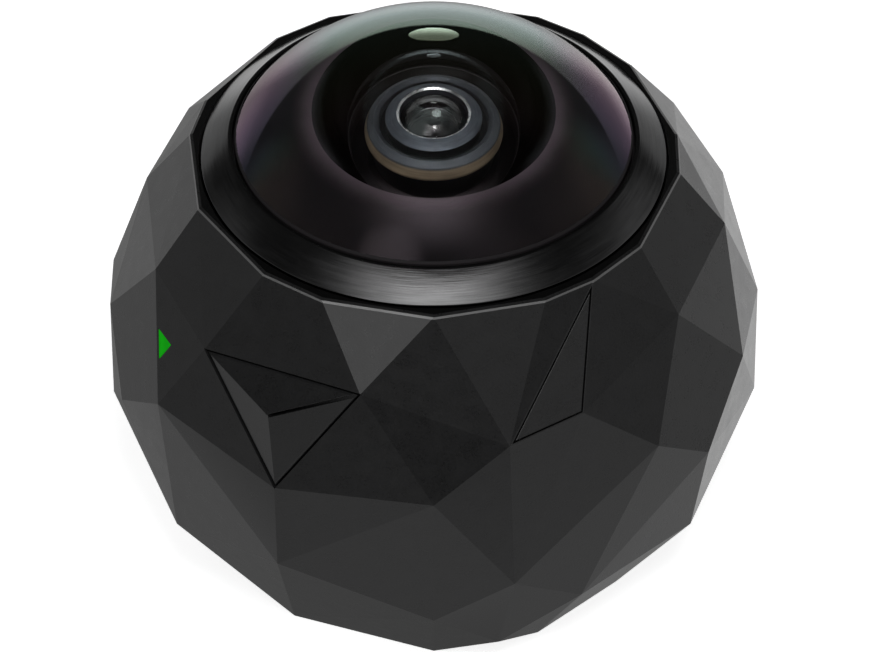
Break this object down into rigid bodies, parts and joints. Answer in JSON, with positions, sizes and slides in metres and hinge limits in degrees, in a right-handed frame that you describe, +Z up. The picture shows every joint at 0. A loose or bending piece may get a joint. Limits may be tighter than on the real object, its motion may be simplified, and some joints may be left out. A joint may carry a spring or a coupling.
{
  "type": "panoramic camera",
  "caption": "Faceted ball camera with a large dome lens in a conical ring on top, a triangular push button, a status light and a tripod socket in its flat base.",
  "frame": {"origin": "centre of the flat base, on the tripod socket's axis", "axes": "+Z up along the lens axis, -Y towards the front with the button on its left, +X to the right seen from the front"},
  "size_m": [0.0599, 0.06, 0.0546],
  "materials": {
    "shell": "matte charcoal black",
    "bezel": "brushed black anodised",
    "lens_glass": "coated polished",
    "seal_rubber": "matte",
    "black_metal": "matte black anodised",
    "ring_metal": "turned blue-grey",
    "screw_steel": "plain",
    "inner_plastic": "moulded",
    "board": "lacquered",
    "chip": "moulded",
    "can_metal": "tinned",
    "ribbon": "film",
    "cell_foil": "foil",
    "light": "clear green",
    "base": "matte black",
    "bush_brass": "turned"
  },
  "bodies": {
    "camera": {"body_shell": "shell", "bezel_ring": "bezel", "dome_lens": "lens_glass", "dome_seal": "seal_rubber", "lens_barrel": "black_metal", "barrel_screws": "screw_steel", "second_lens": "lens_glass", "lens_retainer": "black_metal", "cell_ring": "ring_metal", "front_ring": "ring_metal", "third_lens": "lens_glass", "aperture_stop": "black_metal", "fourth_lens": "lens_glass", "lens_spacer": "black_metal", "fifth_lens": "lens_glass", "rear_spacer": "black_metal", "infrared_filter": "lens_glass", "sensor_holder": "inner_plastic", "image_sensor": "chip", "sensor_board": "board", "sensor_screws": "screw_steel", "sensor_flex": "ribbon", "chassis": "inner_plastic", "chassis_screws": "screw_steel", "board_spacers": "inner_plastic", "main_board": "board", "processor": "chip", "memory_chip": "chip", "shield_can": "can_metal", "board_connector": "chip", "battery_tray": "inner_plastic", "battery_pad": "seal_rubber", "battery_cell": "cell_foil", "button_frame": "inner_plastic", "frame_screws": "screw_steel", "button_seal": "seal_rubber", "switch_body": "chip", "switch_board": "board", "microphone_cover": "shell", "microphone_gasket": "seal_rubber", "microphone": "can_metal", "microphone_board": "board", "light_guide": "light", "status_led": "light", "led_board": "board", "base_cover": "base", "base_gasket": "seal_rubber", "base_screws": "screw_steel", "tripod_bush": "bush_brass", "contact_carrier": "base", "charge_contacts": "bush_brass", "contact_board": "board", "motor_can": "can_metal", "motor_clip": "seal_rubber"},
    "button": {"button_cap": "shell", "button_clip": "screw_steel", "switch_stem": "inner_plastic"},
    "vibrator": {"motor_shaft": "screw_steel", "eccentric_weight": "screw_steel"}
  },
  "joints": [
    {"name": "button_press", "type": "slide", "parent": "camera", "child": "button", "axis": [0.4675, 0.7876, -0.4013], "range_m": [0, 0.0005], "stiffness_N_per_m": 3000},
    {"name": "vibrator_spin", "type": "hinge", "parent": "camera", "child": "vibrator", "pos_m": [0, -0.0095, 0.0035], "axis": [1, 0, 0], "continuous": true}
  ]
}
